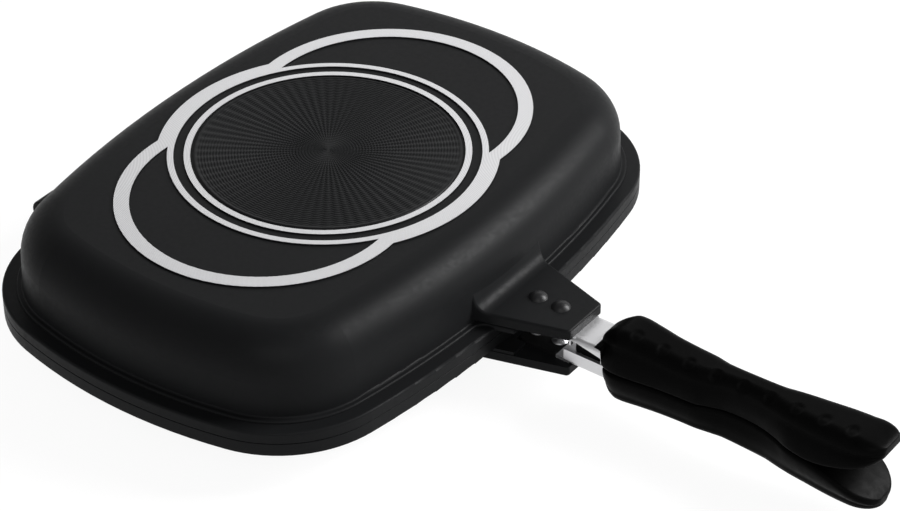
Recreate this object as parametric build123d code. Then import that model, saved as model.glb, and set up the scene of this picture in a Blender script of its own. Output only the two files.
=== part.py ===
"""Double sided flip pan: a deep and a shallow cast shell hinged rim to rim, each with a shank and half grip.

Row frame: millimetres, +Z up, origin on the table at the centre of the pan's base, handle towards -Y,
hinge towards +Y. Each half is first drawn in its own half frame, whose z runs outward from the split
plane to the base. The deep half is lifted to the split plane, and the shallow half is mirrored below it.
"""
import math
import os

from build123d import *

# Rim outline seen from above: four long arcs joined by four corner arcs
rim_half_length = 160.0
rim_half_width = 115.6
long_side_radius = 571.0
short_side_radius = 259.0
corner_radius = 60.8

# Deep upper shell and shallow lower shell, heights measured outward from the split plane
upper_height = 46.5
upper_rim_thickness = 5.9
upper_wall_draft = 2.6
upper_shoulder_radius = 21.5
lower_height = 28.0
lower_rim_thickness = 7.3
lower_wall_draft = 35.0
lower_shoulder_radius = 30.0

# Rim and wall sizes that both shells share
split_gap = 0.3
rim_edge_radius = 1.2
mating_edge_radius = 0.3
flange_width = 6.8
step_height = 1.2
step_width = 2.9
step_edge_radius = 1.0
foot_radius = 1.0
land_width = 13.2
land_chamfer = 0.8
knee_radius = 5.0
wall_thickness = 3.5
base_thickness = 4.2

# Raised ribs of the base: two rings, a wide band and two side loops
rib_height = 0.8
rib_width = 3.1
inner_ring_radius = 65.9
ring_pitch = 8.0
band_radius = 82.5
side_loop_offset = 47.2
side_loop_radius = 71.1
side_loop_width = 7.3

# Rim gasket and its groove
gasket_inset = 5.4
gasket_width = 3.6
gasket_seat_depth = 3.5
gasket_crown = 0.9
gasket_side_clearance = 0.35
gasket_crown_clearance = 0.4

# Handle lug
lug_reach = 34.3
lug_end_half_width = 13.4
lug_taper = 0.297
lug_top = 13.3
lug_corner_radius = 2.0
lug_edge_radius = 1.2
lug_ramp_radius = 7.0
lug_pad_fillet = 6.0
upper_ramp_height = 6.7
upper_ramp_angle = 72.0
lower_ramp_height = 3.0
lower_ramp_angle = 40.0

# Shank: a channel of pressed steel with a narrow tang
shank_thickness = 1.8
shank_half_width = 11.0
shank_top = 8.0
shank_clearance = 0.1
shank_root_gap = 3.0
upper_tab_start = 1.7
lower_tab_start = 4.5
lip_width = 1.0
lip_low = 3.4
shank_bend_radius = 2.4
window_high = 6.9
window_low = 3.3
window_end = 15.8
band_width = 4.0
tongue_end = 1.0
tang_half_width = 5.0
tang_length = 58.0

# Rivets through lug and shank
rivet_radius = 2.4
rivet_head_radius = 4.6
rivet_head_height = 2.6
rivet_tail_radius = 4.0
rivet_tail_height = 1.8
rivet_inset = 13.9
rivet_pitch = 12.8
rivet_clearance = 0.05

# Half grips, lengths measured from the front face; the lower one is shorter and less deep
grip_gap = 16.5
upper_grip_length = 144.2
lower_grip_length = 141.2
lower_grip_trim = 2.0
nose_half_width = 14.0
waist_half_width = 8.1
tail_half_width = 15.9
nose_height = 19.5
saddle_height = 17.0
waist_height = 18.0
tail_height = 20.5
nose_end = 10.0
saddle_start = 42.0
waist_middle = 71.0
flare_middle = 92.0
tail_start = 113.0
nose_top_radius = 9.0
nose_corner_radius = 7.0
tail_top_radius = 3.5
tail_corner_radius = 11.0
tail_lift = 12.0
tail_bend = 118.0
tail_bend_radius = 40.0
grip_flank = 2.6
grip_top_radius = 5.0
grip_seam_radius = 2.0
notch_count = 9
notch_pitch = 14.0
notch_start = 15.2
notch_radius = 4.0
notch_depth = 0.5
notch_length = 11.0

# Grip screws and magnets
screw_radius = 2.0
screw_head_radius = 3.5
screw_head_height = 2.6
screw_length = 7.0
screw_positions = (18.0, 46.0)
screw_clearance = 0.1
magnet_radius = 5.0
magnet_thickness = 3.0
magnet_position = 102.0
magnet_clearance = 0.1

# Hinges, each of three knuckles on one pin
hinge_offset = 8.0
hinge_outer_end = 73.5
knuckle_length = 14.0
knuckle_gap = 0.4
knuckle_radius = 5.5
knuckle_edge_radius = 1.2
pin_radius = 2.0
pin_clearance = 0.05
pin_end_gap = 0.6

# Places worked out from the sizes above
mating_z = split_gap / 2
foot_inset = flange_width + step_width
lug_end_y = -(rim_half_width + lug_reach)
shank_root_y = -(rim_half_width + shank_root_gap)
shank_under = shank_top - shank_thickness
rivet_places = (lug_end_y + rivet_inset, lug_end_y + rivet_inset + rivet_pitch)
grip_front_y = lug_end_y - grip_gap
hinge_y = rim_half_width + hinge_offset


class Half:
    """One shell's own sizes and the places worked out from them, in the half frame."""

    def __init__(self, height, rim_thickness, wall_draft, shoulder_radius, ramp_height, ramp_angle):
        self.height = height
        self.rim_thickness = rim_thickness
        self.step_top = rim_thickness + step_height
        self.base_z = height - rib_height
        self.floor_z = self.base_z - base_thickness
        self.shoulder_radius = shoulder_radius
        self.inner_shoulder_radius = shoulder_radius - (wall_thickness + base_thickness) / 2
        self.wall_slope = math.tan(math.radians(wall_draft))
        self.wall_across = wall_thickness / math.cos(math.radians(wall_draft))
        self.ramp_height = ramp_height
        self.ramp_slope = math.tan(math.radians(ramp_angle))
        shoulder_reach = shoulder_radius * math.tan(math.radians(90 - wall_draft) / 2)
        self.plate_inset = self.inset_outside(self.base_z) + shoulder_reach + base_thickness

    def inset_outside(self, z):
        """How far in from the rim the wall's outer face lies at height z, before the shoulder rounds it."""
        return foot_inset + self.wall_slope * (z - self.step_top)


upper_half = Half(
    upper_height,
    upper_rim_thickness,
    upper_wall_draft,
    upper_shoulder_radius,
    upper_ramp_height,
    upper_ramp_angle,
)
lower_half = Half(
    lower_height,
    lower_rim_thickness,
    lower_wall_draft,
    lower_shoulder_radius,
    lower_ramp_height,
    lower_ramp_angle,
)


def corner_centre():
    """Centre of the corner arc that runs into both the long and the short side's arcs."""
    long_y = rim_half_width - long_side_radius
    short_x = rim_half_length - short_side_radius
    reach_long = long_side_radius - corner_radius
    reach_short = short_side_radius - corner_radius
    apart = math.hypot(short_x, long_y)
    along = (reach_long**2 - reach_short**2 + apart**2) / (2 * apart)
    across = math.sqrt(reach_long**2 - along**2)
    ux, uy = short_x / apart, -long_y / apart
    return along * ux + across * uy, long_y + along * uy - across * ux


def outline_arcs():
    """The rim's eight arcs, anticlockwise from the +X side: centre, radius, start and sweep."""
    cx, cy = corner_centre()
    short_x = rim_half_length - short_side_radius
    long_y = rim_half_width - long_side_radius
    low = math.degrees(math.atan2(cy, cx - short_x))
    high = math.degrees(math.atan2(cy - long_y, cx))
    turn = high - low
    return [
        ((short_x, 0), short_side_radius, -low, 2 * low),
        ((cx, cy), corner_radius, low, turn),
        ((0, long_y), long_side_radius, high, 180 - 2 * high),
        ((-cx, cy), corner_radius, 180 - high, turn),
        ((-short_x, 0), short_side_radius, 180 - low, 2 * low),
        ((-cx, -cy), corner_radius, 180 + low, turn),
        ((0, -long_y), long_side_radius, 180 + high, 180 - 2 * high),
        ((cx, -cy), corner_radius, 360 - high, turn),
    ]


def outline_face(inset):
    """The rim's outline as a face, moved inward by inset."""
    arcs = []
    for centre, radius, start, sweep in outline_arcs():
        arcs.append(CenterArc(centre, radius - inset, start, sweep))
    return make_face(arcs)


def ring(section):
    """A section drawn as (-inset, z) and carried once round the rim's outline."""
    upright = Rot(90, 0, 0) * section
    stretches = []
    for centre, radius, start, sweep in outline_arcs():
        turned = revolve(Pos(radius, 0, 0) * upright, Axis.Z, sweep)
        stretches.append(Pos(*centre) * Rot(0, 0, start) * turned)
    return stretches[0].fuse(*stretches[1:])


def slab(face, low, high):
    """A flat face made solid between two heights."""
    return extrude(Pos(0, 0, low) * face, high - low)


def side_profile(points, radius, half_width):
    """A (y, z) outline with rounded corners made solid across X, centred on the handle's line."""
    face = make_face(FilletPolyline(*points, radius=radius, close=True))
    return extrude(Plane.YZ * face, half_width, both=True)


def outside_section(half):
    """Section of rim, wall and shoulder, solid from the split plane to the base."""
    riser = flange_width + step_width / 2
    points = [
        (0, mating_z),
        (0, half.rim_thickness),
        (-riser, half.rim_thickness),
        (-riser, half.step_top),
        (-foot_inset, half.step_top),
        (-half.inset_outside(half.base_z), half.base_z),
        (-half.plate_inset, half.base_z),
        (-half.plate_inset, mating_z),
    ]
    radii = [mating_edge_radius, rim_edge_radius, 0, 0, foot_radius, half.shoulder_radius, 0, 0]
    return make_face(FilletPolyline(*points, radius=radii, close=True))


def cavity_section(half):
    """Section of the hollow: chamfered at the rim, along the land and the wall to the floor."""
    inside = half.inset_outside(half.floor_z) + half.wall_across
    knee_z = half.step_top + (land_width - foot_inset - half.wall_across) / half.wall_slope
    mouth = land_width - land_chamfer
    points = [
        (-mouth, -mating_z),
        (-mouth, mating_z),
        (-land_width, mating_z + land_chamfer),
        (-land_width, knee_z),
        (-inside, half.floor_z),
        (-half.plate_inset, half.floor_z),
        (-half.plate_inset, -mating_z),
    ]
    radii = [0, 0, 0, knee_radius, half.inner_shoulder_radius, 0, 0]
    return make_face(FilletPolyline(*points, radius=radii, close=True))


def groove_section(depth):
    """Section of a groove cut into the mating face above or below the gasket."""
    half = gasket_width / 2 + gasket_side_clearance
    return Pos(-gasket_inset, mating_z + depth / 2) * Rectangle(2 * half, depth + 2 * mating_z)


def rib_face():
    """Plan of the base's raised ribs."""
    outer_ring = inner_ring_radius + ring_pitch
    inner = Circle(inner_ring_radius + rib_width) - Circle(inner_ring_radius)
    outer = Circle(outer_ring + rib_width) - Circle(outer_ring)
    sides = [Pos(side * side_loop_offset, 0) for side in (-1, 1)]
    band = Circle(band_radius) + [place * Circle(side_loop_radius) for place in sides]
    inside = Circle(outer_ring) + [place * Circle(side_loop_radius - side_loop_width) for place in sides]
    return inner + outer + (band - inside)


def lug_half_width(y):
    """The lug's half width at y, which narrows towards its end."""
    return lug_end_half_width + lug_taper * (y - lug_end_y)


def lug_plan(root_y, shrink, end_y):
    """Plan of the lug from root_y, inside the wall, to end_y."""
    wide = lug_half_width(root_y) - shrink
    narrow = lug_half_width(end_y) - shrink
    return make_face(Polyline((-wide, root_y), (-narrow, end_y), (narrow, end_y), (wide, root_y), close=True))


def lug_solid(half):
    """The lug's wedge, which ramps up to the wall."""
    root_y = -(rim_half_width - half.inset_outside(lug_top) - wall_thickness)
    wall_y = -(rim_half_width - half.inset_outside(lug_top + half.ramp_height))
    ramp_y = wall_y - half.ramp_height / half.ramp_slope
    side = [
        (lug_end_y, shank_top),
        (lug_end_y, lug_top),
        (ramp_y, lug_top),
        (root_y, lug_top + (root_y - ramp_y) * half.ramp_slope),
        (root_y, shank_top),
    ]
    body = side_profile(side, [0, 0, lug_ramp_radius, 0, 0], 2 * lug_half_width(root_y))
    body &= slab(lug_plan(root_y, 0, lug_end_y), 0, upper_height)
    ends = body.edges().filter_by(Axis.Z).group_by(Axis.Y)[0]
    body = fillet(ends, lug_corner_radius)
    tops = [face for face in body.faces() if face.normal_at().Z > 0.1]
    joined = [edge.center() for face in tops for edge in face.edges()]
    rims = [edge for face in tops for edge in face.edges() if joined.count(edge.center()) == 1]
    rims = [edge for edge in rims if edge.center().Y < root_y - 1]
    return fillet(rims, lug_edge_radius)


def lug_recess():
    """The room under the lug that the shank lies in."""
    root_y = shank_root_y + shank_clearance
    length = root_y - lug_end_y
    recess = Box(2 * (shank_half_width + shank_clearance), length, 2 * shank_thickness)
    return Pos(0, root_y - length / 2, shank_top - shank_thickness) * recess


def step_plate(half):
    """The raised step round the wall's foot, which spreads into a pad at the lug's root."""
    pad_end = -(rim_half_width + lug_reach / 4)
    pad = lug_plan(-(rim_half_width - foot_inset), mating_edge_radius, pad_end)
    plan = outline_face(flange_width) + pad
    step_y = -(rim_half_width - flange_width)
    near_step = [corner for corner in plan.vertices() if abs(corner.Y - step_y) < 2]
    corners = [corner for corner in near_step if abs(abs(corner.X) - lug_half_width(step_y)) < 3]
    plan = fillet(corners, lug_pad_fillet)
    plate = slab(plan, half.rim_thickness - step_height, half.step_top)
    top = plate.faces().sort_by(Axis.Z)[-1]
    rims = [edge for edge in top.edges() if edge.center().Y > pad_end + 1]
    return fillet(rims, step_edge_radius)


def knuckle(start):
    """One hinge knuckle from start towards the outer end, with its web to the rim and its pin hole."""
    across = Rot(0, 90, 0)
    middle = Pos(start + knuckle_length / 2, hinge_y, 0)
    barrel = middle * across * Cylinder(knuckle_radius, knuckle_length)
    barrel = fillet(barrel.edges().filter_by(GeomType.CIRCLE), knuckle_edge_radius)
    sag = long_side_radius - math.sqrt(long_side_radius**2 - (start + knuckle_length) ** 2)
    web_root = rim_half_width - sag - flange_width / 2
    web_length = hinge_y - web_root
    web_width = knuckle_length - 2 * knuckle_edge_radius
    web = Box(web_width, web_length, knuckle_radius - mating_z)
    place = Pos(start + knuckle_length / 2, web_root + web_length / 2, (knuckle_radius + mating_z) / 2)
    hole = middle * across * Cylinder(pin_radius + pin_clearance, knuckle_length + 1)
    return barrel + place * web - hole


def knuckle_starts(order):
    """Where the knuckles numbered in order, counted from the inner end, start along X."""
    inner_end = hinge_outer_end - 3 * knuckle_length - 2 * knuckle_gap
    return [inner_end + number * (knuckle_length + knuckle_gap) for number in order]


def half_pan(half, knuckles, groove_depth):
    """One cast shell with its ribs, lug and knuckles, in the half frame."""
    shell = ring(outside_section(half))
    shell += slab(outline_face(half.plate_inset), mating_z, half.base_z)
    shell += slab(rib_face(), half.floor_z + base_thickness / 2, half.height)
    shell += step_plate(half)
    shell += lug_solid(half)
    shell -= lug_recess()
    shell -= ring(cavity_section(half))
    shell -= slab(outline_face(half.plate_inset), -mating_z, half.floor_z)
    for start in knuckle_starts(knuckles):
        right = knuckle(start)
        shell += right
        shell += mirror(right, Plane.YZ)
    shell -= ring(groove_section(groove_depth))
    for y in rivet_places:
        shell -= Pos(0, y, lug_top) * Cylinder(rivet_radius + rivet_clearance, 4 * lug_top)
    return shell


def gasket():
    """Silicone seal with a rounded crown that stands out of the lower groove."""
    height = gasket_seat_depth + mating_z + gasket_crown
    seat = Pos(-gasket_inset, mating_z + gasket_seat_depth - height / 2)
    return ring(seat * RectangleRounded(gasket_width, height, gasket_width / 4))


def shank(tab_start, windowed):
    """Pressed channel: flat under the lug, flanged from tab_start towards the grip, with a tang inside it."""
    inner_x = shank_half_width - shank_thickness
    tab_y = lug_end_y + tab_start
    band_y = grip_front_y - band_width
    section = make_face(
        FilletPolyline(
            (-shank_half_width, mating_z + shank_clearance),
            (-shank_half_width, shank_top),
            (shank_half_width, shank_top),
            (shank_half_width, mating_z + shank_clearance),
            (inner_x, mating_z + shank_clearance),
            (inner_x, shank_under),
            (-inner_x, shank_under),
            (-inner_x, mating_z + shank_clearance),
            radius=[0, shank_bend_radius, shank_bend_radius, 0, 0, 0, 0, 0],
            close=True,
        )
    )
    channel = Pos(0, tab_y, 0) * extrude(Rot(90, 0, 0) * section, tab_y - band_y)
    flat_length = shank_root_y - tab_y + shank_bend_radius
    flat = Box(2 * inner_x + shank_thickness, flat_length, shank_thickness)
    flat = fillet(flat.edges().filter_by(Axis.Z).group_by(Axis.Y)[-1], shank_half_width / 3)
    flat = Pos(0, shank_root_y - flat_length / 2, shank_top - shank_thickness / 2) * flat
    overlap = shank_thickness
    tang = Box(2 * tang_half_width, tang_length + overlap, shank_thickness)
    tang = Pos(0, band_y + overlap - (tang_length + overlap) / 2, shank_top - shank_thickness / 2) * tang
    body = channel + flat + tang
    if windowed:
        lip_y = tab_y - lip_width
        end = lug_end_y - window_end
        clear_y = tab_y + shank_thickness
        upper_edge = [(lip_y, window_high), (end, window_low), (end, -1)]
        lower_edge = [(clear_y, -1), (clear_y, lip_low), (lip_y, lip_low)]
        window = side_profile(upper_edge + lower_edge, [0.8, 0.8, 0, 0, 0, 0], shank_half_width + 1)
        body -= window & (Pos(0, 0, shank_under / 2) * Box(400, 800, shank_under))
    for y in rivet_places:
        body -= Pos(0, y, shank_top) * Cylinder(rivet_radius + rivet_clearance, 4 * shank_thickness)
    for distance in screw_positions:
        hole = Cylinder(screw_radius + screw_clearance, 4 * shank_thickness)
        body -= Pos(0, grip_front_y - distance, shank_top) * hole
    return body


def rivet(y):
    """Domed rivet with its head on the lug and its formed tail on the shank."""
    profile = make_face(
        [
            Line((0, lug_top + rivet_head_height), (0, shank_under - rivet_tail_height)),
            RadiusArc(
                (0, shank_under - rivet_tail_height),
                (rivet_tail_radius, shank_under),
                -(rivet_tail_radius**2 + rivet_tail_height**2) / (2 * rivet_tail_height),
            ),
            Line((rivet_tail_radius, shank_under), (rivet_radius, shank_under)),
            Line((rivet_radius, shank_under), (rivet_radius, lug_top)),
            Line((rivet_radius, lug_top), (rivet_head_radius, lug_top)),
            RadiusArc(
                (rivet_head_radius, lug_top),
                (0, lug_top + rivet_head_height),
                -(rivet_head_radius**2 + rivet_head_height**2) / (2 * rivet_head_height),
            ),
        ]
    )
    return Pos(0, y, 0) * revolve(Rot(90, 0, 0) * profile, Axis.Z)


def grip_stations(length, trim):
    """Stations along the grip, past both of its ends: distance from its front, half width and height."""
    neck = (nose_half_width + waist_half_width) / 2
    flare = (waist_half_width + tail_half_width) / 2
    shapes = [
        (-nose_end, nose_half_width - 1.6, nose_height - 0.4),
        (nose_end, nose_half_width, nose_height),
        ((nose_end + saddle_start) / 2, nose_half_width - 0.8, (nose_height + saddle_height) / 2),
        (saddle_start, neck + 0.6, saddle_height),
        ((saddle_start + waist_middle) / 2, waist_half_width + 0.9, saddle_height),
        (waist_middle, waist_half_width, (saddle_height + waist_height) / 2),
        ((waist_middle + flare_middle) / 2 + 4, flare - 1.5, waist_height),
        ((flare_middle + tail_start) / 2 - 2, flare + 2.2, waist_height + 0.2),
        (tail_start, tail_half_width - 0.4, (waist_height + tail_height) / 2 - 0.4),
        (length - tail_corner_radius - 5, tail_half_width, tail_height - 0.6),
        (length + 10, tail_half_width - 2.4, tail_height + 0.2),
    ]
    return [(distance, half_width, height - trim) for distance, half_width, height in shapes]


def grip_section(half_width, height):
    """Section of the half grip: wide at the seam, narrower and rounded at the top."""
    top_half = half_width - grip_flank
    points = [(-half_width, mating_z), (half_width, mating_z), (top_half, height), (-top_half, height)]
    top_radius = min(grip_top_radius, top_half * 0.8)
    return make_face(FilletPolyline(*points, radius=[grip_seam_radius] * 2 + [top_radius] * 2, close=True))


def grip_height(stations, distance):
    """Height of the grip's top at a distance from its front, read between stations."""
    for near, far in zip(stations, stations[1:]):
        if near[0] <= distance <= far[0]:
            share = (distance - near[0]) / (far[0] - near[0])
            return near[2] + share * (far[2] - near[2])
    return stations[-1][2]


def grip_blank(stations, length, trim):
    """The half grip's outside: sections carried along its length, trimmed from the side and from above."""
    faces = []
    for distance, half_width, height in stations:
        section = Rot(90, 0, 0) * grip_section(half_width, height)
        faces.append(Pos(0, grip_front_y - distance, 0) * section)
    end_y = grip_front_y - length
    bend_y = grip_front_y - tail_bend
    side = [
        (grip_front_y, mating_z),
        (grip_front_y, nose_height - trim),
        (end_y, tail_height + 1 - trim),
        (end_y, tail_lift - trim),
        (bend_y, mating_z),
    ]
    side_radii = [0, nose_top_radius, tail_top_radius, grip_seam_radius, tail_bend_radius]
    nose_x = nose_half_width + 0.5
    tail_x = tail_half_width + 0.3
    plan = [(-nose_x, grip_front_y), (nose_x, grip_front_y), (tail_x, end_y), (-tail_x, end_y)]
    plan_radii = [nose_corner_radius] * 2 + [tail_corner_radius] * 2
    above = make_face(FilletPolyline(*plan, radius=plan_radii, close=True))
    blank = loft(faces) & side_profile(side, side_radii, 2 * tail_half_width)
    return blank & slab(above, 0, 2 * tail_height)


def grip(length, trim):
    """Moulded half grip with its tongue, the tang's pocket, screw bores, a magnet seat and notches."""
    stations = grip_stations(length, trim)
    body = grip_blank(stations, length, trim)
    room = shank_clearance
    inner_x = shank_half_width - shank_thickness
    pocket_length = band_width + room
    web = Box(2 * (shank_half_width + room), 2 * pocket_length, shank_thickness + 2 * room)
    body -= Pos(0, grip_front_y, shank_top - shank_thickness / 2) * web
    for side in (-1, 1):
        flange = Box(shank_thickness + 2 * room, 2 * pocket_length, shank_top + room)
        body -= Pos(side * (inner_x + shank_thickness / 2), grip_front_y, (shank_top + room) / 2) * flange
    tongue_top = shank_under - room
    tongue_length = lug_end_y - tongue_end - grip_front_y
    tongue = Box(2 * (inner_x - room), tongue_length + pocket_length, tongue_top - mating_z)
    tongue_y = grip_front_y + (tongue_length - pocket_length) / 2
    body += Pos(0, tongue_y, (tongue_top + mating_z) / 2) * tongue
    tang_depth = band_width + tang_length + room
    tang = Box(2 * (tang_half_width + room), 2 * tang_depth, shank_thickness + 2 * room)
    body -= Pos(0, grip_front_y, shank_top - shank_thickness / 2) * tang
    for distance in screw_positions:
        y = grip_front_y - distance
        bore = Cylinder(screw_head_radius + screw_clearance, 2 * shank_under)
        body -= Pos(0, y, 0) * bore
        depth = shank_top + screw_length + screw_clearance
        body -= Pos(0, y, depth / 2) * Cylinder(screw_radius + screw_clearance, depth)
    seat = Cylinder(magnet_radius + magnet_clearance, 2 * (magnet_thickness + mating_z))
    body -= Pos(0, grip_front_y - magnet_position, 0) * seat
    for number in range(notch_count):
        distance = notch_start + number * notch_pitch
        z = grip_height(stations, distance) + notch_radius - notch_depth
        notch = Rot(0, 90, 0) * Cylinder(notch_radius, notch_length)
        body -= Pos(0, grip_front_y - distance, z) * notch
    return body


def screw(distance):
    """Pan-head screw from the mating face through the tang into the grip."""
    y = grip_front_y - distance
    head = Pos(0, y, shank_under - screw_head_height / 2) * Cylinder(screw_head_radius, screw_head_height)
    low = shank_under - screw_head_height / 2
    length = shank_top + screw_length - low
    thread = Pos(0, y, low + length / 2) * Cylinder(screw_radius, length)
    return head + thread


def magnet():
    """Round magnet let into the grip's mating face."""
    y = grip_front_y - magnet_position
    return Pos(0, y, mating_z + magnet_thickness / 2) * Cylinder(magnet_radius, magnet_thickness)


def hinge_pin(side):
    """Steel pin through the three knuckles of one hinge."""
    inner_end = knuckle_starts((0,))[0]
    length = hinge_outer_end - inner_end - 2 * pin_end_gap
    middle = side * (hinge_outer_end + inner_end) / 2
    pin = Rot(0, 90, 0) * Cylinder(pin_radius, length)
    pin = chamfer(pin.edges().filter_by(GeomType.CIRCLE), pin_radius / 5)
    return Pos(middle, hinge_y, lower_height) * pin


def upper(shape):
    """Lift a piece from the half frame onto the split plane."""
    return Pos(0, 0, lower_height) * shape


def lower(shape):
    """Mirror a piece of the half frame below the split plane."""
    return Pos(0, 0, lower_height) * mirror(shape, Plane.XY)


def build():
    """Every sub-part by its node's name, in the row frame."""
    front, rear = screw_positions
    outer_y, inner_y = rivet_places
    crown_groove = gasket_crown + gasket_crown_clearance - 2 * mating_z
    return {
        "lower_pan": lower(half_pan(lower_half, (0, 2), gasket_seat_depth)),
        "gasket": lower(gasket()),
        "lower_shank": lower(shank(lower_tab_start, windowed=False)),
        "lower_rivet_inner": lower(rivet(inner_y)),
        "lower_rivet_outer": lower(rivet(outer_y)),
        "lower_grip": lower(grip(lower_grip_length, lower_grip_trim)),
        "lower_screw_front": lower(screw(front)),
        "lower_screw_rear": lower(screw(rear)),
        "lower_magnet": lower(magnet()),
        "hinge_pin_left": hinge_pin(-1),
        "hinge_pin_right": hinge_pin(1),
        "upper_pan": upper(half_pan(upper_half, (1,), crown_groove)),
        "upper_shank": upper(shank(upper_tab_start, windowed=True)),
        "upper_rivet_inner": upper(rivet(inner_y)),
        "upper_rivet_outer": upper(rivet(outer_y)),
        "upper_grip": upper(grip(upper_grip_length, 0)),
        "upper_screw_front": upper(screw(front)),
        "upper_screw_rear": upper(screw(rear)),
        "upper_magnet": upper(magnet()),
    }


os.makedirs("parts", exist_ok=True)
for node, shape in build().items():
    export_step(shape, f"parts/{node}.step")
    print(node, round(shape.volume / 1000, 2), "cm3")
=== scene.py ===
import math

import bmesh
import bpy
from mathutils import Matrix, Vector


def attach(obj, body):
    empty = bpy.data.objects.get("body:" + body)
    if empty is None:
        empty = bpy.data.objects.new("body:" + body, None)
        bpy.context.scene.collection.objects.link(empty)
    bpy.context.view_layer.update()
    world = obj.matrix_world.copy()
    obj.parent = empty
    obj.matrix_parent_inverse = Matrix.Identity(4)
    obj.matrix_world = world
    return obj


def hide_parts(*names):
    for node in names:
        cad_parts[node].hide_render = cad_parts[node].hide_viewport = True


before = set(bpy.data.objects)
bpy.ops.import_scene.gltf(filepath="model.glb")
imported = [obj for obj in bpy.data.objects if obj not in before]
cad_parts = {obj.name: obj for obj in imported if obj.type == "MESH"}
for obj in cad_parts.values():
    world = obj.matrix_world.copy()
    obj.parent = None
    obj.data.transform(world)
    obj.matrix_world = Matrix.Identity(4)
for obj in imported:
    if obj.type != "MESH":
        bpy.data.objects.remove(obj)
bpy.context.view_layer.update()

# Camera. The pan is seen from above its handle side, with the base's left end nearest,
# through a long lens from about 1.4 m away.
split_height = 0.0280
camera_place = Vector((-0.8996, -0.7313, split_height + 0.8333))
camera_aim = Vector((0.016525, -0.060178, split_height))
lens_length = 116.96
sensor_width = 36.0
lens_data = bpy.data.cameras.new("camera")
lens_data.lens = lens_length
lens_data.sensor_width = sensor_width
camera = bpy.data.objects.new("camera", lens_data)
camera.location = camera_place
camera.rotation_euler = (camera_aim - camera_place).to_track_quat("-Z", "Y").to_euler()
bpy.context.scene.collection.objects.link(camera)
bpy.context.scene.camera = camera
bpy.context.scene.view_settings.view_transform = "Standard"

# Studio. A plain white floor under the pan, a bright horizon that fades upwards, a strong soft box at
# the handle's side that draws the long highlight on the near shoulder, and two weak ones elsewhere.
sky_low = 0.25
sky_high = 0.90
sky_bright = 0.70
sky_dim = 0.125
floor_reach = 4.0
floor_drop = 0.0002
paper_colour = (0.82, 0.82, 0.82, 1.0)
paper_roughness = 0.9
paper_glow = 1.08
paper_glow_share = 0.85
pan_middle = (0, 0, 0.05)
near_side = (0, -0.05, 0.05)

world = bpy.data.worlds.new("studio")
bpy.context.scene.world = world
world.use_nodes = True
sky = world.node_tree.nodes
sky_links = world.node_tree.links
sky_axes = sky.new("ShaderNodeSeparateXYZ")
sky_links.new(sky.new("ShaderNodeTexCoord").outputs["Generated"], sky_axes.inputs[0])
sky_fall = sky.new("ShaderNodeMapRange")
sky_fall.interpolation_type = "SMOOTHSTEP"
sky_links.new(sky_axes.outputs["Z"], sky_fall.inputs["Value"])
range_slots = ("From Min", "From Max", "To Min", "To Max")
for slot, number in zip(range_slots, (sky_low, sky_high, sky_bright, sky_dim)):
    sky_fall.inputs[slot].default_value = number
sky_rays = sky.new("ShaderNodeLightPath")
sky_seen = sky.new("ShaderNodeMath")
sky_seen.operation = "MAXIMUM"
sky_links.new(sky_rays.outputs["Is Camera Ray"], sky_seen.inputs[0])
sky_links.new(sky_rays.outputs["Is Transmission Ray"], sky_seen.inputs[1])
sky_level = sky.new("ShaderNodeMath")
sky_level.operation = "MAXIMUM"
sky_links.new(sky_seen.outputs[0], sky_level.inputs[0])
sky_links.new(sky_fall.outputs["Result"], sky_level.inputs[1])
sky["Background"].inputs["Color"].default_value = (1.0, 1.0, 1.0, 1.0)
sky_links.new(sky_level.outputs[0], sky["Background"].inputs["Strength"])

sweep = bpy.data.meshes.new("sweep")
corner_signs = ((-1, -1), (1, -1), (1, 1), (-1, 1))
floor_corners = [(x * floor_reach, y * floor_reach, -floor_drop) for x, y in corner_signs]
sweep.from_pydata(floor_corners, [], [(0, 1, 2, 3)])
floor = bpy.data.objects.new("floor", sweep)
bpy.context.scene.collection.objects.link(floor)
paper = bpy.data.materials.new("white_paper")
paper.use_nodes = True
sheet_nodes = paper.node_tree.nodes
sheet_links = paper.node_tree.links
sheet_nodes["Principled BSDF"].inputs["Base Color"].default_value = paper_colour
sheet_nodes["Principled BSDF"].inputs["Roughness"].default_value = paper_roughness
sheet_glow = sheet_nodes.new("ShaderNodeEmission")
sheet_glow.inputs["Strength"].default_value = paper_glow
sheet_rays = sheet_nodes.new("ShaderNodeLightPath")
sheet_seen = sheet_nodes.new("ShaderNodeMath")
sheet_seen.operation = "MAXIMUM"
sheet_share = sheet_nodes.new("ShaderNodeMath")
sheet_share.operation = "MULTIPLY"
sheet_share.inputs[1].default_value = paper_glow_share
sheet_mix = sheet_nodes.new("ShaderNodeMixShader")
sheet_links.new(sheet_rays.outputs["Is Camera Ray"], sheet_seen.inputs[0])
sheet_links.new(sheet_rays.outputs["Is Glossy Ray"], sheet_seen.inputs[1])
sheet_links.new(sheet_seen.outputs[0], sheet_share.inputs[0])
sheet_links.new(sheet_share.outputs[0], sheet_mix.inputs[0])
sheet_links.new(sheet_nodes["Principled BSDF"].outputs[0], sheet_mix.inputs[1])
sheet_links.new(sheet_glow.outputs[0], sheet_mix.inputs[2])
sheet_links.new(sheet_mix.outputs[0], sheet_nodes["Material Output"].inputs["Surface"])
sweep.materials.append(paper)


def soft_box(name, place, aim, width, depth, power):
    """A rectangular studio light at place, turned to aim; sides in metres, power in watts."""
    lamp_data = bpy.data.lights.new(name, "AREA")
    lamp_data.shape = "RECTANGLE"
    lamp_data.size = width
    lamp_data.size_y = depth
    lamp_data.energy = power
    lamp = bpy.data.objects.new(name, lamp_data)
    lamp.location = place
    lamp.rotation_euler = (Vector(aim) - Vector(place)).to_track_quat("-Z", "Y").to_euler()
    bpy.context.scene.collection.objects.link(lamp)


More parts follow.
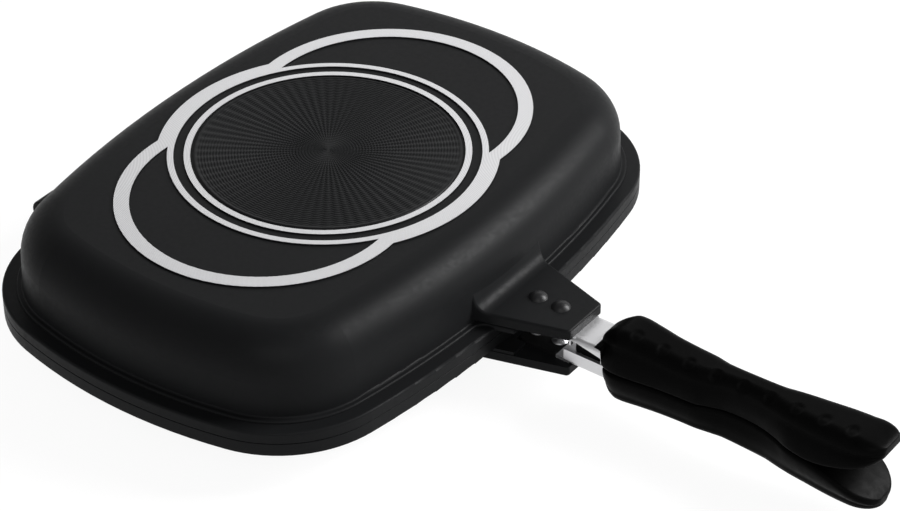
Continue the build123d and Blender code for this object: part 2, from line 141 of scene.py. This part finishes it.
soft_box("box_behind", place=(1.75, 0.95, 1.4), aim=pan_middle, width=1.6, depth=1.2, power=6)
soft_box("box_handle_side", place=(1.3, -1.3, 1.2), aim=near_side, width=0.9, depth=1.2, power=90)
soft_box("box_left", place=(-1.4, -0.9, 1.6), aim=pan_middle, width=1.2, depth=1.0, power=10)

# Cast shells. Each half is a pressure-cast aluminium shell with a satin black non-stick coat,
# sprayed on and baked. The ribs of the base are skimmed bare on a lathe after coating.
stack_middle = 0.03725
rib_reach = 0.03725
bare_start = 0.00022
bare_full = 0.00010
lathe_pitch = 0.0007
coat_dark = (0.0066, 0.0068, 0.0072)
coat_light = (0.0075, 0.0078, 0.0082)
lathe_dark = (0.46, 0.46, 0.47)
lathe_light = (0.76, 0.76, 0.77)
coat_cloud_scale = 28.0
coat_fleck_scale = 420.0
coat_grain_scale = 1500.0
fleck_range = (0.3, 0.7)
coat_rough = (0.40, 0.48)
lathe_rough = 0.30
lathe_rough_step = 0.10
coat_relief = 0.00003
coat_specular = 0.05


def new_finish(name):
    """A node material with its nodes, links and shader, and the place in the piece's own space."""
    finish = bpy.data.materials.new(name)
    finish.use_nodes = True
    nodes = finish.node_tree.nodes
    place = nodes.new("ShaderNodeTexCoord").outputs["Object"]
    return finish, nodes, finish.node_tree.links, nodes["Principled BSDF"], place


def split_axes(nodes, links, place):
    """The X, Y and Z of a place, by name."""
    axes = nodes.new("ShaderNodeSeparateXYZ")
    links.new(place, axes.inputs[0])
    return axes.outputs


def calc(nodes, links, operation, *values):
    """A math node fed by numbers and sockets in order."""
    node = nodes.new("ShaderNodeMath")
    node.operation = operation
    for slot, value in enumerate(values):
        if isinstance(value, (int, float)):
            node.inputs[slot].default_value = value
        else:
            links.new(value, node.inputs[slot])
    return node.outputs[0]


def grain(nodes, links, place, scale, detail=2.0):
    """Fine noise in the piece's own space, scale in grains per metre."""
    noise = nodes.new("ShaderNodeTexNoise")
    noise.inputs["Scale"].default_value = scale
    noise.inputs["Detail"].default_value = detail
    links.new(place, noise.inputs["Vector"])
    return noise.outputs["Fac"]


def span(nodes, links, value, low, high, out_low, out_high):
    """The value's run from low to high eased onto another range."""
    ranger = nodes.new("ShaderNodeMapRange")
    ranger.interpolation_type = "SMOOTHSTEP"
    links.new(value, ranger.inputs["Value"])
    for slot, number in zip(range_slots, (low, high, out_low, out_high)):
        ranger.inputs[slot].default_value = number
    return ranger.outputs["Result"]


def blend_colour(nodes, links, share, first, second):
    """A colour that runs from first to second with share; each may be a colour or a socket."""
    mixer = nodes.new("ShaderNodeMix")
    mixer.data_type = "RGBA"
    links.new(share, mixer.inputs[0])
    for slot, value in ((6, first), (7, second)):
        if isinstance(value, tuple):
            mixer.inputs[slot].default_value = (*value, 1.0)
        else:
            links.new(value, mixer.inputs[slot])
    return mixer.outputs[2]


def relief(nodes, links, shader, height, depth, strength=1.0):
    """A bump of that depth in metres on the shader's normal."""
    bump = nodes.new("ShaderNodeBump")
    bump.inputs["Distance"].default_value = depth
    bump.inputs["Strength"].default_value = strength
    links.new(height, bump.inputs["Height"])
    links.new(bump.outputs["Normal"], shader.inputs["Normal"])


def roughen(nodes, links, shader, fleck, rough):
    """Roughness that runs with the fleck between the two values of rough."""
    links.new(span(nodes, links, fleck, *fleck_range, *rough), shader.inputs["Roughness"])


def dress(finish, *names):
    """The finish on the CAD nodes of those names."""
    for name in names:
        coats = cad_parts[name].data.materials
        coats.clear()
        coats.append(finish)


satin_coat, nodes, links, shader, place = new_finish("satin_coat_with_bare_ribs")
axes = split_axes(nodes, links, place)
height = calc(nodes, links, "ABSOLUTE", calc(nodes, links, "SUBTRACT", axes["Z"], stack_middle))
bare = span(nodes, links, height, rib_reach - bare_start, rib_reach - bare_full, 0.0, 1.0)
x_squared = calc(nodes, links, "POWER", axes["X"], 2.0)
y_squared = calc(nodes, links, "POWER", axes["Y"], 2.0)
radius = calc(nodes, links, "SQRT", calc(nodes, links, "ADD", x_squared, y_squared))
lathe_turn = calc(nodes, links, "MULTIPLY", radius, 2 * math.pi / lathe_pitch)
lathe_mark = calc(nodes, links, "MULTIPLY_ADD", calc(nodes, links, "SINE", lathe_turn), 0.5, 0.5)
cloudy = grain(nodes, links, place, coat_cloud_scale, detail=3.0)
coat_colour = blend_colour(nodes, links, cloudy, coat_dark, coat_light)
metal_colour = blend_colour(nodes, links, lathe_mark, lathe_dark, lathe_light)
links.new(blend_colour(nodes, links, bare, coat_colour, metal_colour), shader.inputs["Base Color"])
links.new(bare, shader.inputs["Metallic"])
speckle = grain(nodes, links, place, coat_fleck_scale)
coat_level = span(nodes, links, speckle, *fleck_range, *coat_rough)
metal_level = calc(nodes, links, "MULTIPLY_ADD", lathe_mark, lathe_rough_step, lathe_rough)
level_step = calc(nodes, links, "SUBTRACT", metal_level, coat_level)
links.new(calc(nodes, links, "MULTIPLY_ADD", level_step, bare, coat_level), shader.inputs["Roughness"])
coat_grain = grain(nodes, links, place, coat_grain_scale, detail=3.0)
grain_step = calc(nodes, links, "SUBTRACT", lathe_mark, coat_grain)
skin = calc(nodes, links, "MULTIPLY_ADD", grain_step, bare, coat_grain)
relief(nodes, links, shader, skin, coat_relief, strength=0.5)
shader.inputs["Specular IOR Level"].default_value = coat_specular
dress(satin_coat, "lower_pan", "upper_pan")

# Sunburst of the base. Inside the inner rib the casting carries a fine waffle: radial flutes crossed by
# close concentric grooves, which lets the black base grip and spread heat. It is coated like the rest.
flute_count = 72
groove_pitch = 0.00145
waffle_outer = 0.0640
waffle_inner = 0.0015
upper_seat = 0.07371
lower_seat = 0.00079
waffle_rise = 0.00072
flute_depth = 0.00040
groove_depth = 0.00030
flute_profile = (1.0, 0.15, 0.0, 0.15)
groove_profile = (1.0, 0.5, 0.0, 0.5)
rim_fade = 0.002
middle_fade = 0.016
least_rise = 0.00002
skirt_flare = 1.012
skirt_sink = 0.0001
waffle_dark = (0.0068, 0.0070, 0.0074)
waffle_light = (0.0078, 0.0081, 0.0085)
waffle_cloud_scale = 60.0
waffle_fleck_scale = 500.0
waffle_grain_scale = 1800.0
waffle_rough = (0.34, 0.42)
waffle_relief = 0.00002
waffle_specular = 0.08
ring_steps = int((waffle_outer - waffle_inner) / groove_pitch) * len(groove_profile)

waffle_coat, nodes, links, shader, place = new_finish("satin_coat_waffle")
cloudy = grain(nodes, links, place, waffle_cloud_scale, detail=3.0)
links.new(blend_colour(nodes, links, cloudy, waffle_dark, waffle_light), shader.inputs["Base Color"])
roughen(nodes, links, shader, grain(nodes, links, place, waffle_fleck_scale), waffle_rough)
pebbled = grain(nodes, links, place, waffle_grain_scale)
relief(nodes, links, shader, pebbled, waffle_relief, strength=0.4)
shader.inputs["Specular IOR Level"].default_value = waffle_specular


def waffle_disc(name, side, seat, body):
    """The waffle as a disc on the base plane at height seat, up for side 1 and down for side -1."""
    disc = bmesh.new()
    columns = flute_count * len(flute_profile)
    rings = []
    for step in range(ring_steps + 1):
        radius = waffle_inner + (waffle_outer - waffle_inner) * step / ring_steps
        in_groove = groove_profile[step % len(groove_profile)]
        faded = min(1.0, (waffle_outer - radius) / rim_fade, radius / middle_fade)
        ring = []
        for column in range(columns):
            angle = 2 * math.pi * column / columns
            in_flute = flute_profile[column % len(flute_profile)]
            rise = waffle_rise - faded * (groove_depth * in_groove + flute_depth * in_flute)
            z = seat + side * max(rise, least_rise)
            x, y = radius * math.cos(angle), radius * math.sin(angle)
            ring.append(disc.verts.new((x, y, z)))
        rings.append(ring)
    skirt = []
    for point in rings[-1]:
        x, y = point.co.x * skirt_flare, point.co.y * skirt_flare
        skirt.append(disc.verts.new((x, y, seat - side * skirt_sink)))
    rings.append(skirt)
    for inner, outer in zip(rings, rings[1:]):
        for column in range(columns):
            following = (column + 1) % columns
            disc.faces.new((inner[column], outer[column], outer[following], inner[following]))
    middle = disc.verts.new((0, 0, seat + side * waffle_rise))
    for column in range(columns):
        disc.faces.new((middle, rings[0][column], rings[0][(column + 1) % columns]))
    bmesh.ops.recalc_face_normals(disc, faces=disc.faces)
    facing_down = sum(face.normal.z * face.calc_area() for face in disc.faces) < 0
    if facing_down != (side < 0):
        bmesh.ops.reverse_faces(disc, faces=disc.faces)
    for face in disc.faces:
        face.smooth = True
    mesh = bpy.data.meshes.new(name)
    disc.to_mesh(mesh)
    disc.free()
    mesh.materials.append(waffle_coat)
    piece = bpy.data.objects.new(name, mesh)
    bpy.context.scene.collection.objects.link(piece)
    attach(piece, body)


waffle_disc("upper_base_waffle", 1, upper_seat, "upper_half")
waffle_disc("lower_base_waffle", -1, lower_seat, "lower_half")

# Gasket. A dark silicone ring pressed into the groove of the lower rim, which seals the halves
# when they are closed and keeps the juices in while the pan is turned over.
silicone_dark = (0.050, 0.050, 0.052)
silicone_light = (0.075, 0.075, 0.078)
silicone_cloud_scale = 90.0
silicone_fleck_scale = 600.0
silicone_grain_scale = 2500.0
silicone_rough = (0.52, 0.64)
silicone_relief = 0.00002

silicone, nodes, links, shader, place = new_finish("dark_silicone")
cloudy = grain(nodes, links, place, silicone_cloud_scale)
links.new(blend_colour(nodes, links, cloudy, silicone_dark, silicone_light), shader.inputs["Base Color"])
roughen(nodes, links, shader, grain(nodes, links, place, silicone_fleck_scale), silicone_rough)
moulded = grain(nodes, links, place, silicone_grain_scale)
relief(nodes, links, shader, moulded, silicone_relief, strength=0.4)
dress(silicone, "gasket")

# Shanks and small steel. The shanks are stamped from stainless strip, folded into a channel and brushed;
# their roots between the lugs are painted near-black as shade, for the upper lug's shadow. Pins and screws
# are turned, magnets are plated.
# Painted shade: from here towards the pan the shank is coloured near-black and non-metallic, standing in
# for the shadow under the upper lug.
painted_shade_start = -0.1410
painted_shade_fade = 0.0006
brush_stretch = (1.0, 0.04, 1.0)
steel_dark = (0.61, 0.61, 0.62)
steel_light = (0.71, 0.71, 0.72)
painted_shade_dark = (0.004, 0.004, 0.004)
painted_shade_light = (0.007, 0.007, 0.007)
turned_dark = (0.55, 0.55, 0.56)
turned_light = (0.68, 0.68, 0.69)
brush_scale = 2600.0
turned_scale = 700.0
steel_rough = (0.40, 0.52)
turned_rough = (0.24, 0.36)
steel_specular = 0.5
painted_shade_specular = 0.06
steel_relief = 0.00001

polished_steel, nodes, links, shader, place = new_finish("polished_stainless")
stretch = nodes.new("ShaderNodeMapping")
stretch.inputs["Scale"].default_value = brush_stretch
links.new(place, stretch.inputs["Vector"])
brushed = grain(nodes, links, stretch.outputs["Vector"], brush_scale, detail=3.0)
# Painted shade mask: the shank's root under the lugs turns near-black, non-metallic and less specular.
painted_shade_span = (split_axes(nodes, links, place)["Y"], painted_shade_start, painted_shade_start + painted_shade_fade)
steel_colour = blend_colour(nodes, links, brushed, steel_dark, steel_light)
painted_shade_colour = blend_colour(nodes, links, brushed, painted_shade_dark, painted_shade_light)
painted_shade_share = span(nodes, links, *painted_shade_span, 0.0, 1.0)
links.new(blend_colour(nodes, links, painted_shade_share, steel_colour, painted_shade_colour), shader.inputs["Base Color"])
links.new(span(nodes, links, *painted_shade_span, 1.0, 0.0), shader.inputs["Metallic"])
links.new(span(nodes, links, *painted_shade_span, steel_specular, painted_shade_specular), shader.inputs["Specular IOR Level"])
roughen(nodes, links, shader, brushed, steel_rough)
relief(nodes, links, shader, brushed, steel_relief, strength=0.3)
dress(polished_steel, "lower_shank", "upper_shank")

turned_steel, nodes, links, shader, place = new_finish("turned_steel")
scuffed = grain(nodes, links, place, turned_scale, detail=4.0)
links.new(blend_colour(nodes, links, scuffed, turned_dark, turned_light), shader.inputs["Base Color"])
shader.inputs["Metallic"].default_value = 1.0
roughen(nodes, links, shader, scuffed, turned_rough)
relief(nodes, links, shader, scuffed, steel_relief, strength=0.4)
dress(turned_steel, "hinge_pin_left", "hinge_pin_right")
for half in ("lower", "upper"):
    dress(turned_steel, f"{half}_screw_front", f"{half}_screw_rear", f"{half}_magnet")

# Rivets. Solid aluminium rivets hold each shank in its lug; the domed heads outside are painted black
# and the tails, formed over on the shank's hidden side, are left bright.
rivet_tail_reach = 0.0075
head_dark = (0.008, 0.008, 0.0085)
head_light = (0.013, 0.013, 0.0135)
tail_dark = (0.44, 0.44, 0.45)
tail_light = (0.58, 0.58, 0.59)
mottle_scale = 900.0
rivet_rough = (0.34, 0.46)
rivet_relief = 0.00003
rivet_specular = 0.20

rivet_paint, nodes, links, shader, place = new_finish("rivet_black")
mottled = grain(nodes, links, place, mottle_scale, detail=3.0)
axes = split_axes(nodes, links, place)
height = calc(nodes, links, "ABSOLUTE", calc(nodes, links, "SUBTRACT", axes["Z"], split_height))
bright = calc(nodes, links, "LESS_THAN", height, rivet_tail_reach)
paint_colour = blend_colour(nodes, links, mottled, head_dark, head_light)
tail_colour = blend_colour(nodes, links, mottled, tail_dark, tail_light)
links.new(blend_colour(nodes, links, bright, paint_colour, tail_colour), shader.inputs["Base Color"])
links.new(bright, shader.inputs["Metallic"])
roughen(nodes, links, shader, mottled, rivet_rough)
relief(nodes, links, shader, mottled, rivet_relief, strength=0.6)
shader.inputs["Specular IOR Level"].default_value = rivet_specular
dress(rivet_paint, "lower_rivet_inner", "lower_rivet_outer", "upper_rivet_inner", "upper_rivet_outer")

# Half grips. Each is moulded in one piece from black phenolic and screwed onto the shank's tang: a broad
# nose, a narrow waist, a fish tail that curls away from the split so that fingers can open the pan, and a
# row of shallow dimples for the thumb. A tongue fills the shank's channel in front of the grip.
grip_front = -0.1664
seam_gap = 0.00015
seam_radius = 0.0020
grip_keys = (
    # from the front, half width at the seam, half width at the top, upper grip's height, lower grip's depth
    (0.000, 0.0138, 0.0103, 0.0200, 0.0179),
    (0.010, 0.0146, 0.0111, 0.0212, 0.0181),
    (0.020, 0.0136, 0.0105, 0.0205, 0.0171),
    (0.030, 0.0123, 0.0098, 0.0193, 0.0164),
    (0.040, 0.0116, 0.0094, 0.0184, 0.0160),
    (0.050, 0.0111, 0.0088, 0.0182, 0.0163),
    (0.056, 0.0091, 0.0076, 0.0184, 0.0168),
    (0.064, 0.0070, 0.0062, 0.0188, 0.0174),
    (0.075, 0.0067, 0.0060, 0.0190, 0.0180),
    (0.084, 0.0079, 0.0068, 0.0189, 0.0182),
    (0.092, 0.0103, 0.0084, 0.0189, 0.0184),
    (0.099, 0.0131, 0.0096, 0.0189, 0.0185),
    (0.108, 0.0149, 0.0106, 0.0191, 0.0186),
    (0.120, 0.0158, 0.0117, 0.0196, 0.0189),
    (0.132, 0.0157, 0.0120, 0.0199, 0.0191),
    (0.1442, 0.0152, 0.0116, 0.0199, 0.0194),
)
# length, lip over the shank, seam rise at the tail, nose rounding along, down and across,
# tail rounding along and across, column of the height
upper_form = (0.1442, 0.0044, 0.0120, 0.0125, 0.0112, 0.0082, 0.0125, 0.0086, 3)
lower_form = (0.1433, 0.0, 0.0110, 0.0078, 0.0080, 0.0036, 0.0155, 0.0122, 4)
shank_top = 0.0080
nose_power = 0.8
nose_seam_in = 0.0030
cheek_round = 0.0050
cheek_in = 0.0012
tail_start = 0.1080
tail_curl = 1.7
tail_undercut = 0.0016
tail_thinning = 0.0024
tail_top_spare = 0.0016
top_radius_limit = 0.0068
edge_share = 0.46
shank_edge_share = 0.6
least_edge_share = 0.3
width_edge_share = 0.85
side_flare = 0.0008
side_swell = 0.0006
seam_shares = (0.0, 0.35, 0.7)
seam_steps = 6
side_steps = 5
shoulder_steps = 12
crown_steps = 6
ring_steps_along = 270
edge_steps = (0.00002, 0.00008, 0.0002, 0.00035)
lip_steps = 12
dimple_count = 9
dimple_start = 0.0152
dimple_pitch = 0.0140
dimple_middle = 0.0056
dimple_half_width = 0.0044
dimple_half_length = 0.0036
dimple_wall = 0.55
dimple_depth = 0.00055
tongue_half_width = 0.0091
tongue_low = 0.00015
tongue_high = 0.0061
tongue_front = -0.1509
tongue_tuck = 0.001
phenolic_dark = (0.0012, 0.0012, 0.0012)
phenolic_light = (0.0018, 0.0018, 0.0018)
phenolic_flow_scale = 120.0
phenolic_fleck_scale = 300.0
phenolic_grain_scale = 1300.0
phenolic_rough = (0.36, 0.46)
phenolic_relief = 0.00003
phenolic_specular = 0.02

phenolic, nodes, links, shader, place = new_finish("black_phenolic")
flow = grain(nodes, links, place, phenolic_flow_scale, detail=3.0)
links.new(blend_colour(nodes, links, flow, phenolic_dark, phenolic_light), shader.inputs["Base Color"])
roughen(nodes, links, shader, grain(nodes, links, place, phenolic_fleck_scale), phenolic_rough)
moulded = grain(nodes, links, place, phenolic_grain_scale, detail=3.0)
relief(nodes, links, shader, moulded, phenolic_relief, strength=0.35)
shader.inputs["Specular IOR Level"].default_value = phenolic_specular


def eased(distance, column):
    """A key value at a distance from the grip's front, on a smooth curve through the keys."""
    for index in range(len(grip_keys) - 1):
        near, far = grip_keys[index], grip_keys[index + 1]
        if distance <= far[0]:
            break
    before = grip_keys[max(index - 1, 0)]
    after = grip_keys[min(index + 2, len(grip_keys) - 1)]
    length = far[0] - near[0]
    slope_in = (far[column] - before[column]) / (far[0] - before[0]) * length
    slope_out = (after[column] - near[column]) / (after[0] - near[0]) * length
    t = (distance - near[0]) / length
    return (
        (2 * t**3 - 3 * t**2 + 1) * near[column]
        + (t**3 - 2 * t**2 + t) * slope_in
        + (3 * t**2 - 2 * t**3) * far[column]
        + (t**3 - t**2) * slope_out
    )


def rounded_off(distance, radius):
    """How far an edge of that radius has drawn in at a distance from the end, 0 to 1."""
    if distance >= radius:
        return 0.0
    return 1.0 - math.sqrt(max(0.0, 1.0 - (1.0 - distance / radius) ** 2))


def grip_loop(distance, form):
    """One section of a grip as (x, z) points over the split, once around from the middle of the seam."""
    length, lip, rise, nose_round, nose_drop, nose_in, tail_round, tail_in, height_column = form
    on_shank = distance < 0
    nose = rounded_off(distance + lip, nose_round) ** nose_power
    cheek = 0.0 if on_shank else rounded_off(distance, cheek_round)
    tail = rounded_off(length - distance, tail_round)
    distance = max(distance, 0.0)
    seam_half = eased(distance, 1) - nose_seam_in * nose - cheek_in * cheek - tail_in * tail
    top_half = eased(distance, 2) - nose_in * nose - (tail_in - tail_top_spare) * tail
    bend = max(0.0, (distance - tail_start) / (length - tail_start))
    floor_z = seam_gap + rise * bend**tail_curl + tail_undercut * tail
    if on_shank:
        floor_z = shank_top + seam_gap
    top_z = eased(distance, height_column) - nose_drop * nose - tail_thinning * tail
    # The upper edge is rounded as far as the body's height, what stands over the shank and the width allow.
    least_radius = least_edge_share * (top_z - floor_z)
    body_limit = (shank_edge_share if on_shank else edge_share) * (top_z - floor_z)
    nose_limit = max(shank_edge_share * (top_z - shank_top - seam_gap), least_radius)
    top_radius = min(top_radius_limit, nose_limit, width_edge_share * top_half, body_limit)
    low_radius = min(seam_radius, least_radius)
    side = []
    for step in range(seam_steps + 1):
        turn = math.pi / 2 * step / seam_steps
        x = seam_half - low_radius * (1 - math.sin(turn))
        side.append((x, floor_z + low_radius * (1 - math.cos(turn))))
    low_x, low_z = side[-1]
    high_x, high_z = top_half + side_flare, top_z - top_radius
    for step in range(1, side_steps):
        share = step / side_steps
        swell = side_swell * math.sin(math.pi * share)
        side.append((low_x + (high_x - low_x) * share + swell, low_z + (high_z - low_z) * share))
    for step in range(shoulder_steps + 1):
        turn = math.pi / 2 * step / shoulder_steps
        x = high_x - top_radius * (1 - math.cos(turn))
        side.append((x, high_z + top_radius * math.sin(turn)))
    flat = high_x - top_radius
    crown = [(flat * (1 - step / crown_steps), top_z) for step in range(1, crown_steps + 1)]
    seam = [(seam_half * share, floor_z) for share in seam_shares]
    half = seam + side + crown
    mirrored = [(-x, z) for x, z in reversed(half[1:-1])]
    return half + mirrored


def dimple_cut(across, distance):
    """How deep the nearest dimple cuts, at a way around from the crown and a distance from the front."""
    number = min(max(round((distance - dimple_start) / dimple_pitch), 0), dimple_count - 1)
    along = (distance - dimple_start - number * dimple_pitch) / dimple_half_length
    inside = (1.0 - math.hypot(along, (across - dimple_middle) / dimple_half_width)) / dimple_wall
    inside = min(max(inside, 0.0), 1.0)
    return dimple_depth * (3 * inside**2 - 2 * inside**3)


def half_grip(name, side, form, body, node):
    """One half grip of that form; side -1 turns it over about its long axis for the lower half."""
    length, lip = form[:2]
    shape = bmesh.new()
    distances = [-lip * step / lip_steps for step in range(1, lip_steps + 1)] if lip else [0.0]
    distances += [length * step / ring_steps_along for step in range(1, ring_steps_along + 1)]
    for step in edge_steps:
        distances += [step, length - step]
        if lip:
            distances += [step - lip, -step]
    distances.sort()
    rings = []
    for distance in distances:
        ring = []
        loop = grip_loop(distance, form)
        across = 0.0
        for index, (x, z) in enumerate(loop):
            if index > len(loop) // 2:
                before, after = loop[index - 1], loop[(index + 1) % len(loop)]
                across += math.hypot(x - before[0], z - before[1])
                cut = dimple_cut(across, distance) / math.dist(before, after)
                x, z = x - cut * (after[1] - before[1]), z + cut * (after[0] - before[0])
            ring.append(shape.verts.new((side * x, grip_front - distance, split_height + side * z)))
        rings.append(ring)
    for near, far in zip(rings, rings[1:]):
        for index in range(len(near)):
            following = (index + 1) % len(near)
            shape.faces.new((near[index], near[following], far[following], far[index]))
    shape.faces.new(rings[0])
    shape.faces.new(list(reversed(rings[-1])))
    for face in shape.faces:
        face.smooth = True
    tongue_back = grip_front - tongue_tuck
    tongue_middle = split_height + side * (tongue_low + tongue_high) / 2
    tongue_place = (0.0, (tongue_front + tongue_back) / 2, tongue_middle)
    tongue_size = (2 * tongue_half_width, tongue_front - tongue_back, tongue_high - tongue_low)
    tongue_matrix = Matrix.Translation(tongue_place) @ Matrix.Diagonal((*tongue_size, 1.0))
    bmesh.ops.create_cube(shape, size=1.0, matrix=tongue_matrix)
    bmesh.ops.recalc_face_normals(shape, faces=shape.faces)
    mesh = bpy.data.meshes.new(name)
    shape.to_mesh(mesh)
    shape.free()
    mesh.materials.append(phenolic)
    piece = bpy.data.objects.new(name, mesh)
    bpy.context.scene.collection.objects.link(piece)
    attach(piece, body)
    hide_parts(node)


half_grip("upper_half_grip", 1, upper_form, "upper_half", "upper_grip")
half_grip("lower_half_grip", -1, lower_form, "lower_half", "lower_grip")
